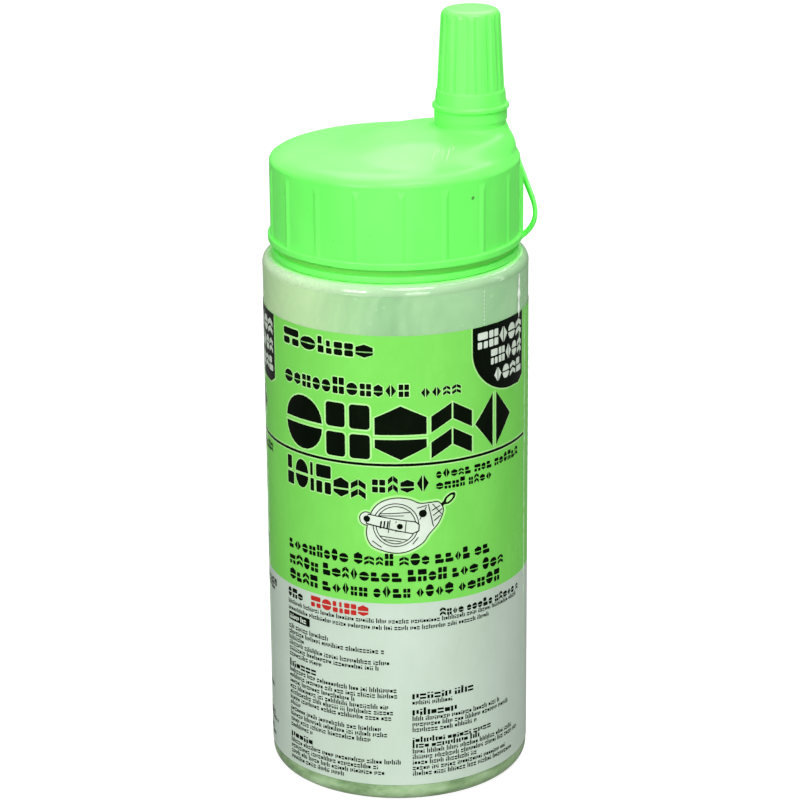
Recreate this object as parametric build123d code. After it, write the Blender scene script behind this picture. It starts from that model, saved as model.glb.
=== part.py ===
from build123d import *
from math import cos, radians, sin, tan
import os

# Squeeze bottle of powdered snap-line chalk, millimetres, +Z up.
# The origin is the centre of the face that the bottle stands on.
# The nozzle is offset from the bottle's axis towards +X.

# ---- driving dimensions -------------------------------------------------------------------
BODY_R = 33.8            # outside radius of the bottle
SHOULDER_Z = 138.8       # flat top of the shoulder
SHOULDER_FILLET = 2.2
BASE_FILLET = 3.0
BASE_RECESS = 1.0        # depth of the pushed-up ring under the base
BASE_DISC_R = 12.0       # flat middle of the base
BASE_RING_R = (14.0, 25.0)     # flat part of the pushed-up ring
BASE_FOOT_R = 27.0       # inside edge of the ring that the bottle stands on
WALL = 1.0               # bottle wall
INNER_CORNER = 1.6       # slope inside the shoulder
INNER_FOOT = 2.0         # slope inside the foot
LIP_Z = 160.6            # top of the bottle's mouth
NECK_R = 28.3            # thread root of the neck
NECK_WALL = 1.3
THREAD_PITCH = 4.233     # six threads to the inch
THREAD_DEPTH = 1.2
THREAD_Z = 151.6         # height where the neck's thread begins
THREAD_CREST = 0.9       # width of a ridge at its crest
NECK_RIDGE = 2.0         # width of the neck's ridge at its root
CLOSURE_RIDGE = 1.9      # width of the closure's ridge at its root
CLOSURE_RIDGE_GAP = 0.45 # between the closure's crest and the neck's root
RIDGE_BITE = 0.35        # how deep a ridge is sunk in its wall

SLEEVE_LOW_Z = 4.8
SLEEVE_HIGH_Z = 136.3
FILM = 0.12
FIT_GAP = 0.02           # between two pieces that sit on each other

POWDER_TOP_Z = 118.0
POWDER_GAP = 0.15
POWDER_HEAP = 2.0        # drop from the middle of the heap to its edge
POWDER_FOOT = 3.0

CLOSURE_WALL_R = 31.65   # between the grip ribs
CLOSURE_BORE_R = 29.8
CLOSURE_TOP_Z = 163.4    # rim, where the wall meets the sloping top
RIM_FILLET = 1.3
LEDGE_Z = 161.8          # underside that presses on the gasket
LEDGE_R = 26.4
HOLLOW_MID_R = 17.4      # the hollow's middle section, half way to the nozzle
HOLLOW_MID_RISE = 3.6
FLANGE_R = 32.35
FLANGE_Z = (142.3, 144.3)
FLANGE_FILLET = 0.45
SKIRT_R = 30.6
SKIRT_Z = 138.88
RIB_COUNT = 18
RIB_PROUD = 0.3
STRAP_RIB_PROUD = 0.9    # the first rib, in front of the strap
RIB_WIDTH = 2.0
RIB_Z = (142.6, 161.9)
RIB_TAPER = 1.8          # sloping top end of a rib
RIB_CREST = 0.4          # width of a rib's crest
RIB_ROOT = 0.5           # how deep a rib is sunk in the wall
RIB_FILLET = 0.15
FIRST_RIB = -7.3         # degrees from +X

NOZZLE_X = 19.15         # offset of the nozzle's axis
NECK_BASE_R = 9.0
NECK_BASE_Z = 171.6
NECK_TOP_Z = 173.0
SLOPE_SECTIONS = (       # between rim and neck: share of the nozzle's offset, radius, height
    (0.33, 24.2, 166.2),
    (0.67, 16.5, 169.2),
    (0.85, 12.4, 170.15),
    (0.95, 10.2, 170.8),
)
HOLLOW_TOP_Z = 167.9     # where the hollow meets the neck's bore
NECK_BORE_R = 7.3
NECK_STEP = 0.15         # the neck is this much slimmer than the foot of the slope
COLLAR_R = 9.15
COLLAR_TOP_Z = 175.55
COLLAR_CHAMFER = 0.25
PLUG_LENGTH = 5.0        # part of the spout inside the neck
PLUG_INNER_R = 5.4
PLUG_CHAMFER = 0.5
SPOUT_ROOT_R = 6.2
SPOUT_TIP_R = 3.4
SPOUT_TIP_Z = 192.6
SPOUT_TIP_LENGTH = 4.5   # straight part of the tip
SPOUT_TIP_CHAMFER = 0.6
SPOUT_HOLE_R = 1.9
SPOUT_HOLE_LENGTH = 6.0
SPOUT_INNER_R = 5.0      # inside radius at the collar

CAP_BOTTOM_Z = 175.6
CAP_TOP_Z = 200.8
CAP_RING_R = 9.65
CAP_RING_HEIGHT = 1.5
CAP_RING_CHAMFER = 0.4
CAP_BAND_R = (8.95, 8.65)      # lower band, bottom and top
CAP_BAND_Z = 180.2
CAP_BODY_R = (8.4, 7.35)      # fluted part, bottom and top
CAP_STEP = 0.5           # height of the slope between the band and the fluted part
CAP_TOP_FILLET = 2.1
CAP_WALL = 1.2
CAP_TOP_WALL = 1.4
FLUTE_COUNT = 16
FLUTE_R = 1.5
FLUTE_DEPTH = 0.28
FLUTE_END = 0.9          # a flute stops this far below the cap's top

RING_R = 31.35
RING_Z = (138.88, 140.6)
PAD_BORE_R = 30.9
PAD_R = 32.4
PAD_Z = (140.2, 142.1)
PAD_ANGLE = 4.6          # degrees from +X, centre of the strap's pad
PAD_HALF = 2.4
PAD_CHAMFER = 1.0
RING_FILLET = 0.4
LUG_ANGLE = 66.0         # degrees about the nozzle's axis, where the strap joins its cap
LUG_SIZE = (2.4, 3.0, 1.1)     # along the nozzle's radius, across it and in height
LUG_RISE = 0.2           # the lug's underside above the cap's
STRAP_R = 0.6
STRAP_BEND = 0.45        # share of a stretch that each bend takes up

GASKET_R = (26.5, 29.5)


def ring_solid(outer, inner, low, high):
    """A plain tube between two heights."""
    body = Cylinder(outer, high - low, align=(Align.CENTER, Align.CENTER, Align.MIN))
    hole = Cylinder(inner, high - low + 2, align=(Align.CENTER, Align.CENTER, Align.MIN))
    return Pos(0, 0, low) * (body - Pos(0, 0, -1) * hole)


def disc(radius, z, x=0.0):
    """A flat round face, used as a section of a loft."""
    return Pos(x, 0, z) * Circle(radius)


def outer_circles(shape, least_radius):
    """Circular edges of a shape that are at least this large."""
    circles = shape.edges().filter_by(GeomType.CIRCLE)
    return circles.filter_by(lambda edge: edge.radius > least_radius)


def thread_ridge(root_r, crest_r, start_z, base):
    """One right-hand turn of a trapezoidal thread between two radii."""
    helix = Helix(pitch=THREAD_PITCH, height=THREAD_PITCH, radius=root_r)
    reach = crest_r - root_r
    bite = -RIDGE_BITE if reach > 0 else RIDGE_BITE
    start = Plane(origin=helix @ 0, x_dir=(1, 0, 0), z_dir=helix % 0)
    outline = Polyline(
        (bite, -base / 2),
        (0, -base / 2),
        (reach, -THREAD_CREST / 2),
        (reach, THREAD_CREST / 2),
        (0, base / 2),
        (bite, base / 2),
        close=True,
    )
    section = start * make_face(outline)
    return Pos(0, 0, start_z) * sweep(section, path=helix, is_frenet=True)


def bottle():
    """Blow-moulded bottle with a threaded wide neck, open at the top."""
    base_line = Polyline(
        (0, 0),
        (BASE_DISC_R, 0),
        (BASE_RING_R[0], BASE_RECESS),
        (BASE_RING_R[1], BASE_RECESS),
        (BASE_FOOT_R, 0),
        (BODY_R - BASE_FILLET, 0),
    )
    base_arc = RadiusArc(
        (BODY_R - BASE_FILLET, 0), (BODY_R, BASE_FILLET), -BASE_FILLET
    )
    side = Line((BODY_R, BASE_FILLET), (BODY_R, SHOULDER_Z - SHOULDER_FILLET))
    shoulder_arc = RadiusArc(
        (BODY_R, SHOULDER_Z - SHOULDER_FILLET),
        (BODY_R - SHOULDER_FILLET, SHOULDER_Z),
        -SHOULDER_FILLET,
    )
    inner_r = BODY_R - WALL
    neck_inner = NECK_R - NECK_WALL
    inside = Polyline(
        (BODY_R - SHOULDER_FILLET, SHOULDER_Z),
        (NECK_R, SHOULDER_Z),
        (NECK_R, LIP_Z),
        (neck_inner, LIP_Z),
        (neck_inner, SHOULDER_Z - WALL),
        (inner_r - INNER_CORNER, SHOULDER_Z - WALL),
        (inner_r, SHOULDER_Z - WALL - INNER_CORNER),
        (inner_r, BASE_FILLET + WALL),
        (inner_r - INNER_FOOT, BASE_RECESS + WALL),
        (0, BASE_RECESS + WALL),
        (0, 0),
    )
    outline = make_face(base_line + base_arc + side + shoulder_arc + inside)
    body = revolve(Plane.XZ * outline, axis=Axis.Z)
    ridge = thread_ridge(NECK_R, NECK_R + THREAD_DEPTH, THREAD_Z, NECK_RIDGE)
    return body + ridge


def chalk_powder():
    """The fill of powder, settled in the bottle with a slightly heaped top."""
    radius = BODY_R - WALL - POWDER_GAP
    low = BASE_RECESS + WALL + POWDER_GAP
    outline = Polyline(
        (0, low),
        (radius - POWDER_FOOT, low),
        (radius, low + POWDER_FOOT),
        (radius, POWDER_TOP_Z - POWDER_HEAP),
        (0, POWDER_TOP_Z),
        close=True,
    )
    return revolve(Plane.XZ * make_face(outline), axis=Axis.Z)


def shrink_sleeve():
    """Printed film shrunk on the bottle's straight side."""
    inner = BODY_R + FIT_GAP
    return ring_solid(inner + FILM, inner, SLEEVE_LOW_Z, SLEEVE_HIGH_Z)


def sloping_top():
    """The lopsided cone from the rim up to the nozzle's neck, flared at the neck."""
    sections = [disc(CLOSURE_WALL_R, CLOSURE_TOP_Z)]
    for share, radius, height in SLOPE_SECTIONS:
        sections.append(disc(radius, height, share * NOZZLE_X))
    sections.append(disc(NECK_BASE_R, NECK_BASE_Z, NOZZLE_X))
    return loft(sections)


def grip_rib(angle, proud):
    """One upright rib on the closure's wall, with sloping sides and a tapered top."""
    low, high = RIB_Z
    foot = RIB_WIDTH / 2
    crest = RIB_CREST / 2
    across = Polyline(
        (-RIB_ROOT, -foot),
        (0, -foot),
        (proud, -crest),
        (proud, crest),
        (0, foot),
        (-RIB_ROOT, foot),
        close=True,
    )
    rib = extrude(make_face(across), high - low)
    upright = rib.edges().filter_by(Axis.Z).group_by(Axis.X)[-1]
    rib = fillet(upright, RIB_FILLET)
    side = Polyline(
        (proud, high - low - RIB_TAPER),
        (0, high - low),
        (proud, high - low),
        close=True,
    )
    top_cut = extrude(Plane.XZ * make_face(side), RIB_WIDTH, both=True)
    return Rot(0, 0, angle) * (Pos(CLOSURE_WALL_R, 0, low) * (rib - top_cut))


def pad_block():
    """The strap's pad: a short stretch of ring with its lower edge sloped off."""
    low, high = PAD_Z
    profile = Polyline(
        (PAD_BORE_R, low),
        (PAD_R - PAD_CHAMFER, low),
        (PAD_R, low + PAD_CHAMFER),
        (PAD_R, high),
        (PAD_BORE_R, high),
        close=True,
    )
    block = revolve(Plane.XZ * make_face(profile), axis=Axis.Z, revolution_arc=2 * PAD_HALF)
    return Rot(0, 0, PAD_ANGLE - PAD_HALF) * block


def screw_closure():
    """Wide screw closure with grip ribs, a sloping top and the nozzle's neck."""
    wall = Cylinder(
        CLOSURE_WALL_R,
        CLOSURE_TOP_Z - FLANGE_Z[0],
        align=(Align.CENTER, Align.CENTER, Align.MIN),
    )
    body = Pos(0, 0, FLANGE_Z[0]) * wall + sloping_top()
    body = fillet(outer_circles(body, SKIRT_R).sort_by(Axis.Z)[-1], RIM_FILLET)
    body += ring_solid(SKIRT_R, CLOSURE_BORE_R, SKIRT_Z, FLANGE_Z[0] + 1)
    flange = ring_solid(FLANGE_R, CLOSURE_BORE_R, *FLANGE_Z)
    flange = fillet(outer_circles(flange, CLOSURE_WALL_R), FLANGE_FILLET)
    body += flange
    for index in range(RIB_COUNT):
        proud = RIB_PROUD if index else STRAP_RIB_PROUD
        body += grip_rib(FIRST_RIB + index * 360.0 / RIB_COUNT, proud)
    neck = Cylinder(
        NECK_BASE_R - NECK_STEP,
        NECK_TOP_Z - LEDGE_Z,
        align=(Align.CENTER, Align.CENTER, Align.MAX),
    )
    body += Pos(NOZZLE_X, 0, NECK_TOP_Z) * neck
    bore = Cylinder(
        CLOSURE_BORE_R,
        LEDGE_Z - SKIRT_Z + 1,
        align=(Align.CENTER, Align.CENTER, Align.MAX),
    )
    body -= Pos(0, 0, LEDGE_Z) * bore
    hollow = loft(
        [
            disc(LEDGE_R, LEDGE_Z - 0.01),
            disc(HOLLOW_MID_R, LEDGE_Z + HOLLOW_MID_RISE, NOZZLE_X / 2),
            disc(NECK_BORE_R, HOLLOW_TOP_Z, NOZZLE_X),
        ]
    )
    body -= hollow
    channel = Cylinder(
        NECK_BORE_R,
        NECK_TOP_Z - LEDGE_Z + 1,
        align=(Align.CENTER, Align.CENTER, Align.MAX),
    )
    body -= Pos(NOZZLE_X, 0, NECK_TOP_Z + 1) * channel
    ridge = thread_ridge(
        CLOSURE_BORE_R,
        NECK_R + CLOSURE_RIDGE_GAP,
        THREAD_Z - THREAD_PITCH / 2 - FIT_GAP,
        CLOSURE_RIDGE,
    )
    return body + ridge


def neck_gasket():
    """Foam ring pressed between the bottle's lip and the closure."""
    return ring_solid(GASKET_R[1], GASKET_R[0], LIP_Z + FIT_GAP, LEDGE_Z - FIT_GAP)


def spout_nozzle():
    """Tapered spout with a collar, pushed into the closure's neck."""
    plug_r = NECK_BORE_R - FIT_GAP
    seat_z = NECK_TOP_Z + FIT_GAP
    plug_z = seat_z - PLUG_LENGTH
    outline = Polyline(
        (PLUG_INNER_R, plug_z),
        (plug_r - PLUG_CHAMFER, plug_z),
        (plug_r, plug_z + PLUG_CHAMFER),
        (plug_r, seat_z),
        (COLLAR_R, seat_z),
        (COLLAR_R, COLLAR_TOP_Z - COLLAR_CHAMFER),
        (COLLAR_R - COLLAR_CHAMFER, COLLAR_TOP_Z),
        (SPOUT_ROOT_R, COLLAR_TOP_Z),
        (SPOUT_TIP_R, SPOUT_TIP_Z - SPOUT_TIP_LENGTH),
        (SPOUT_TIP_R, SPOUT_TIP_Z - SPOUT_TIP_CHAMFER),
        (SPOUT_TIP_R - SPOUT_TIP_CHAMFER, SPOUT_TIP_Z),
        (SPOUT_HOLE_R, SPOUT_TIP_Z),
        (SPOUT_HOLE_R, SPOUT_TIP_Z - SPOUT_HOLE_LENGTH),
        (SPOUT_INNER_R, COLLAR_TOP_Z - 1),
        close=True,
    )
    return Pos(NOZZLE_X, 0, 0) * revolve(Plane.XZ * make_face(outline), axis=Axis.Z)


def flute(angle):
    """One shallow upright groove in the nozzle cap's tapered side."""
    low_r, high_r = CAP_BODY_R
    low_z = CAP_BAND_Z + CAP_STEP
    high_z = CAP_TOP_Z - FLUTE_END
    out = FLUTE_R - FLUTE_DEPTH
    low_end = Plane(origin=(low_r + out, 0, low_z), z_dir=(0, 0, 1)) * Circle(FLUTE_R)
    high_end = Plane(origin=(high_r + out, 0, high_z), z_dir=(0, 0, 1)) * Circle(FLUTE_R)
    groove = loft([low_end, high_end])
    return Rot(0, 0, angle) * groove


def nozzle_cap():
    """Hollow fluted cap with a base ring and a lug for the strap."""
    band_low, band_high = CAP_BAND_R
    body_low, body_high = CAP_BODY_R
    ring_top = CAP_BOTTOM_Z + CAP_RING_HEIGHT
    outline = Polyline(
        (0, CAP_TOP_Z),
        (body_high, CAP_TOP_Z),
        (body_low, CAP_BAND_Z + CAP_STEP),
        (band_high, CAP_BAND_Z),
        (band_low, ring_top),
        (CAP_RING_R - CAP_RING_CHAMFER, ring_top),
        (CAP_RING_R, ring_top - CAP_RING_CHAMFER),
        (CAP_RING_R, CAP_BOTTOM_Z + CAP_RING_CHAMFER),
        (CAP_RING_R - CAP_RING_CHAMFER, CAP_BOTTOM_Z),
        (0, CAP_BOTTOM_Z),
        close=True,
    )
    body = revolve(Plane.XZ * make_face(outline), axis=Axis.Z)
    corner = body.edges().filter_by(GeomType.CIRCLE).sort_by(Axis.Z)[-1]
    body = fillet(corner, CAP_TOP_FILLET)
    for index in range(FLUTE_COUNT):
        body -= flute((index + 0.5) * 360.0 / FLUTE_COUNT)
    ceiling = CAP_TOP_Z - CAP_TOP_WALL
    inner_high = body_high - CAP_WALL - CAP_RING_CHAMFER
    hollow = Polyline(
        (0, CAP_BOTTOM_Z - 1),
        (band_low - CAP_WALL, CAP_BOTTOM_Z - 1),
        (band_low - CAP_WALL, CAP_BOTTOM_Z + CAP_RING_CHAMFER),
        (inner_high, ceiling - CAP_WALL),
        (inner_high - CAP_WALL, ceiling),
        (0, ceiling),
        close=True,
    )
    body -= revolve(Plane.XZ * make_face(hollow), axis=Axis.Z)
    lug = Box(*LUG_SIZE, align=(Align.MIN, Align.CENTER, Align.MIN))
    lug = Pos(CAP_RING_R - LUG_SIZE[0] / 2 + LUG_RISE, 0, CAP_BOTTOM_Z + LUG_RISE) * lug
    body += Rot(0, 0, LUG_ANGLE) * lug
    return Pos(NOZZLE_X, 0, 0) * body


def tether_ring():
    """Ring around the closure's skirt, with the pad that the strap grows from."""
    band = ring_solid(RING_R, SKIRT_R + FIT_GAP, *RING_Z)
    band = fillet(outer_circles(band, SKIRT_R + RING_FILLET), RING_FILLET)
    return band + pad_block()


def strap_route():
    """Points of the strap's centre line, from the ring's pad to the cap's lug."""
    root_angle = radians(PAD_ANGLE)
    lug_angle = radians(LUG_ANGLE)
    root_r = PAD_R - STRAP_R / 3
    lug_r = CAP_RING_R + LUG_SIZE[0] / 2 + STRAP_R + LUG_RISE
    root = (root_r * cos(root_angle), root_r * sin(root_angle), PAD_Z[1] - STRAP_R)
    end = (
        NOZZLE_X + lug_r * cos(lug_angle),
        lug_r * sin(lug_angle),
        CAP_BOTTOM_Z + LUG_RISE + LUG_SIZE[2] / 2,
    )
    return [
        root,
        (33.5, 2.4, 142.3),
        (35.45, 2.0, 145.6),
        (35.45, 2.9, 149.4),
        (34.0, 6.4, 153.2),
        (31.6, 12.4, 158.6),
        (29.0, 18.4, 164.8),
        (26.6, 22.4, 170.0),
        (24.6, 23.8, 174.4),
        (23.6, 21.8, 177.6),
        (23.4, 17.4, 178.4),
        end,
    ]


def tether_strap():
    """Thin flexible strap, whose plain solid follows its route."""
    points = strap_route()
    radii = []
    for index in range(1, len(points) - 1):
        before = Vector(*points[index]) - Vector(*points[index - 1])
        after = Vector(*points[index + 1]) - Vector(*points[index])
        turn = before.get_angle(after)
        run = min(before.length, after.length)
        radii.append(STRAP_BEND * run / tan(radians(turn / 2)))
    path = FilletPolyline(*points, radius=radii)
    start = Plane(origin=path @ 0, z_dir=path % 0)
    return sweep(start * Circle(STRAP_R), path=path)


PARTS = {
    "bottle": bottle,
    "chalk_powder": chalk_powder,
    "shrink_sleeve": shrink_sleeve,
    "screw_closure": screw_closure,
    "neck_gasket": neck_gasket,
    "spout_nozzle": spout_nozzle,
    "nozzle_cap": nozzle_cap,
    "tether_ring": tether_ring,
    "tether_strap": tether_strap,
}

os.makedirs("parts", exist_ok=True)
for name, make in PARTS.items():
    export_step(make(), f"parts/{name}.step")
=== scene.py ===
"""Looks for a squeeze bottle of powdered snap-line chalk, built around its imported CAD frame."""
import math
import random

import bmesh
import bpy
from mathutils import Matrix, Vector, noise


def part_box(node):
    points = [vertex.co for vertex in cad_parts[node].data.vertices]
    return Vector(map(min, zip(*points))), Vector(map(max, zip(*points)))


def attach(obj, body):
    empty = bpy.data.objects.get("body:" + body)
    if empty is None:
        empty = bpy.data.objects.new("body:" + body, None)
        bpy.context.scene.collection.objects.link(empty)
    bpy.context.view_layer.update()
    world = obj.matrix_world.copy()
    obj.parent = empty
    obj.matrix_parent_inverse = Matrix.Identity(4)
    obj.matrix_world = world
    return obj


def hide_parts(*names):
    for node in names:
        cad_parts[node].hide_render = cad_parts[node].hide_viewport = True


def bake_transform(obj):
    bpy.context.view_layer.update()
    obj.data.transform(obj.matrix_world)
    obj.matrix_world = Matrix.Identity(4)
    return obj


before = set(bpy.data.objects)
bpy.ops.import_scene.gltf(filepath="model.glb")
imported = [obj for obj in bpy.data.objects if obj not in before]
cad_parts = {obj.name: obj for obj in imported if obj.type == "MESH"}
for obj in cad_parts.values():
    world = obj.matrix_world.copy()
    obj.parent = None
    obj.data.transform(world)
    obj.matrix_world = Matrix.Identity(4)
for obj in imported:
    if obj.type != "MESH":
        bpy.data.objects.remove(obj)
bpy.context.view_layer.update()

MM = 0.001

# ---- sizes taken from the frame, in millimetres --------------------------------------------
sleeve_low, sleeve_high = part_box("shrink_sleeve")
cap_low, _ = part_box("nozzle_cap")
spout_low, spout_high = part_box("spout_nozzle")

FILM_R = sleeve_high[0] / MM
SLEEVE_LOW = sleeve_low[2] / MM
SLEEVE_HIGH = sleeve_high[2] / MM
NOZZLE_X = (spout_low[0] + spout_high[0]) / 2 / MM
CAP_BOTTOM = cap_low[2] / MM

# ---- print layout on the sleeve: s runs along the sleeve from the front, z is the height ----
BAND = (55.5, 126.3)
LAYER = 0.014              # one layer of ink over another
LIFT = 0.006               # how far the lowest layer of ink stands off the film
GROUND = (0.002, 0.004)    # inner and outer stand-off of the band's and the frost's colour
FACET = 1.4                # longest straight step along the sleeve
TUBE_STEPS = 288           # sides of a thin tube round the bottle
EDGE_STEPS = 360           # sides of the film's curled top edge
HALO = 0.38                # pale edge around the large black shapes
PANEL_TURN = math.radians(-134)    # from the front panel to its repeat
BACK_TURN = math.radians(121)      # from the front panel to the narrow one at the back

# ---- the strap and the marks on the closure -------------------------------------------------
STRAP_SIDES = 12           # corners of the strap's section
ABOVE = 190                # a height above the closure, where a look straight down starts
OUTSIDE = 45               # a distance from the axis that is outside the closure
DOWN = (0, 0, -1)
DOT_SIDES = 10             # corners of a speck
RAISED, SUNK = 0.02, 0.03  # how far a mark stands out of the surface and reaches into it

# ---- brightness of the surroundings ---------------------------------------------------------
WORLD_FRONT = 0.5
WORLD_SIDE = 0.25


# ---- colours, linear ------------------------------------------------------------------------
def srgb(red, green, blue):
    """A linear colour from 0-255 display values."""
    out = []
    for value in (red, green, blue):
        part = value / 255
        out.append(part / 12.92 if part <= 0.04045 else ((part + 0.055) / 1.055) ** 2.4)
    return tuple(out) + (1.0,)


# ================================ materials ==================================================
class Shader:
    """A node material with a Principled shader and short ways to add nodes."""

    def __init__(self, name, **values):
        self.material = bpy.data.materials.new(name)
        self.material.use_nodes = True
        self.tree = self.material.node_tree
        self.shader = self.tree.nodes["Principled BSDF"]
        self.place = self.node("ShaderNodeTexCoord").outputs["Object"]
        sockets = {socket.name.lower(): socket for socket in self.shader.inputs}
        for key, value in values.items():
            sockets[key.replace("_", " ")].default_value = value

    def node(self, kind, **values):
        made = self.tree.nodes.new(kind)
        for key, value in values.items():
            setattr(made, key, value)
        return made

    def link(self, source, target):
        self.tree.links.new(source, target)

    def stretched(self, x, y, z):
        """Object coordinates scaled unevenly, for streaks."""
        mapping = self.node("ShaderNodeMapping")
        mapping.inputs["Scale"].default_value = (x, y, z)
        self.link(self.place, mapping.inputs["Vector"])
        return mapping.outputs["Vector"]

    def noise(self, scale, detail=4.0, rough=0.55, vector=None, distortion=0.0):
        made = self.node("ShaderNodeTexNoise")
        made.inputs["Scale"].default_value = scale
        made.inputs["Detail"].default_value = detail
        made.inputs["Roughness"].default_value = rough
        made.inputs["Distortion"].default_value = distortion
        self.link(vector or self.place, made.inputs["Vector"])
        return made.outputs["Fac"]

    def ramp(self, fac, stops):
        """A colour ramp; stops are (position, colour or grey)."""
        made = self.node("ShaderNodeValToRGB")
        band = made.color_ramp
        while len(band.elements) < len(stops):
            band.elements.new(0.5)
        for element, (position, colour) in zip(band.elements, stops):
            element.position = position
            grey = not isinstance(colour, tuple)
            element.color = (colour, colour, colour, 1) if grey else colour
        self.link(fac, made.inputs["Fac"])
        return made.outputs["Color"]

    def mix(self, fac, first, second, kind="MIX"):
        """Mix two colours, each a socket or a value."""
        made = self.node("ShaderNodeMix", data_type="RGBA", blend_type=kind)
        for index, value in ((0, fac), (6, first), (7, second)):
            if hasattr(value, "is_output"):
                self.link(value, made.inputs[index])
            else:
                made.inputs[index].default_value = value
        return made.outputs[2]

    def axis(self, letter, low, high):
        """0 to 1 between two places along an axis, in millimetres."""
        split = self.node("ShaderNodeSeparateXYZ")
        self.link(self.place, split.inputs[0])
        span = self.node("ShaderNodeMapRange")
        span.inputs["From Min"].default_value = low * MM
        span.inputs["From Max"].default_value = high * MM
        self.link(split.outputs[letter], span.inputs["Value"])
        return span.outputs["Result"]

    def colour(self, source):
        self.link(source, self.shader.inputs["Base Color"])

    def roughness(self, source):
        self.link(source, self.shader.inputs["Roughness"])

    def bump(self, height, strength, distance):
        made = self.node("ShaderNodeBump")
        made.inputs["Strength"].default_value = strength
        made.inputs["Distance"].default_value = distance
        self.link(height, made.inputs["Height"])
        self.link(made.outputs["Normal"], self.shader.inputs["Normal"])


GREEN = srgb(112, 240, 100)
GREEN_DEEP = srgb(104, 234, 93)
GREEN_PALE = srgb(120, 245, 107)
GROOVE_Z = (140.5, 142.4)  # lowest and highest part of the groove under the flange, darkened by dust and painted shade, mm


def green_plastic(name, shift, groove=None):
    """Soft fluorescent polyethylene with flow marks, a waxy sheen, a faint painted glow, and dust
    and painted shade in the groove under the flange.
    """
    look = Shader(
        name,
        roughness=0.48,
        specular_ior_level=0.35,
        subsurface_weight=0.2,
        subsurface_radius=(0.6, 1.0, 0.5),
        subsurface_scale=0.002,
        # painted glow: a faint constant green emission stands in for the plastic's fluorescence
        emission_color=(0.03, 1.0, 0.02, 1),
        emission_strength=0.06,
        coat_weight=0.16,
        coat_roughness=0.14,
    )
    cloud = look.noise(60 + shift, 3, 0.5, look.stretched(1, 1, 0.35), 0.4)
    colour = look.ramp(cloud, [(0.3, GREEN_DEEP), (0.52, GREEN), (0.75, GREEN_PALE)])
    fleck = look.noise(900, 2, 0.6)
    colour = look.mix(look.ramp(fleck, [(0.69, 0.0), (0.74, 0.2)]), colour, GREEN_PALE)
    if groove:
        low, high = groove
        # dust and painted shade: the closure turns darker olive in the groove under the flange
        dust_and_shade_stops = [(0.0, 0.0), (0.1, 0.6), (0.9, 0.6), (1.0, 0.0)]
        dust_and_painted_shade = look.ramp(look.axis("Z", low, high), dust_and_shade_stops)
        colour = look.mix(dust_and_painted_shade, colour, srgb(98, 168, 52))
    look.colour(colour)
    grain = look.noise(2600, 3, 0.6)
    scuff = look.noise(240, 5, 0.7, look.stretched(1, 1, 0.15))
    look.bump(look.mix(0.35, grain, scuff), 0.06, 0.00012)
    return look.material


def bottle_plastic():
    """Hazy translucent wall with chalk showing through, greyer where the chalk has settled."""
    look = Shader(
        "bottle_plastic",
        specular_ior_level=0.3,
        subsurface_weight=0.3,
        subsurface_radius=(0.8, 1.0, 0.7),
        subsurface_scale=0.003,
    )
    cloud = look.noise(34, 4, 0.6, look.stretched(1, 1, 0.7), 0.6)
    shades = [(0.38, srgb(106, 152, 102)), (0.5, srgb(138, 194, 134)), (0.62, srgb(182, 222, 170))]
    haze = look.ramp(cloud, shades)
    side = look.ramp(look.axis("X", -33, -4), [(0.0, 0.95), (0.4, 0.85), (1.0, 0.0)])
    broken = look.ramp(cloud, [(0.3, 0.65), (0.6, 1.0)])
    haze = look.mix(look.mix(1.0, side, broken, "MULTIPLY"), haze, srgb(232, 255, 196))
    right = look.ramp(look.axis("X", 8, 30), [(0.0, 0.0), (1.0, 0.65)])
    haze = look.mix(right, haze, srgb(200, 246, 198))
    streak = look.noise(90, 6, 0.65, look.stretched(1, 1, 0.5), 0.8)
    haze = look.mix(look.ramp(streak, [(0.45, 0.0), (0.75, 0.35)]), haze, srgb(206, 242, 198))
    patch = look.noise(1500, 3, 0.7)
    haze = look.mix(look.ramp(patch, [(0.66, 0.0), (0.72, 0.3)]), haze, srgb(120, 180, 110))
    clump = look.noise(110, 5, 0.6, look.stretched(1, 1, 2))
    shades = [(0.36, srgb(118, 150, 104)), (0.5, srgb(146, 178, 130)), (0.66, srgb(168, 198, 154))]
    settled = look.ramp(clump, shades)
    wall = look.mix(look.ramp(look.axis("Z", 2, 122), [(0.86, 0.0), (0.97, 1.0)]), settled, haze)
    # painted highlight: the shoulder turns paler towards the closure, where the top light reflects
    shoulder = look.ramp(look.axis("Z", 136.6, 138.9), [(0.0, 0.0), (1.0, 0.55)])
    wall = look.mix(shoulder, wall, srgb(222, 246, 216))
    # painted reflection: a bright green band at the top of the shoulder stands for the closure
    # reflected in it
    closure_reflection = look.ramp(look.axis("Z", 138.4, 138.8), [(0.0, 0.0), (1.0, 0.7)])
    look.colour(look.mix(closure_reflection, wall, srgb(130, 250, 112)))
    look.roughness(look.ramp(streak, [(0.3, 0.14), (0.8, 0.26)]))
    look.bump(look.noise(320, 4, 0.6), 0.10, 0.0002)
    return look.material


def chalk_dust():
    """Loose powder, matt and slightly lumpy."""
    look = Shader("chalk_dust", roughness=0.95)
    lump = look.noise(260, 8, 0.7)
    shades = [(0.3, srgb(104, 190, 84)), (0.5, srgb(134, 226, 108)), (0.75, srgb(170, 244, 146))]
    look.colour(look.ramp(lump, shades))
    look.bump(look.noise(1400, 8, 0.75), 0.6, 0.0005)
    return look.material


def clear_film():
    """Thin shrink film: nearly clear, glossy, with soft ripples."""
    look = Shader("clear_film", roughness=0.16, alpha=0.22, specular_ior_level=0.6)
    ripple = look.noise(150, 3, 0.5, look.stretched(1, 1, 0.3))
    look.colour(look.ramp(ripple, [(0.3, srgb(184, 228, 178)), (0.7, srgb(200, 236, 194))]))
    look.bump(ripple, 0.25, 0.0004)
    return look.material


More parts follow.
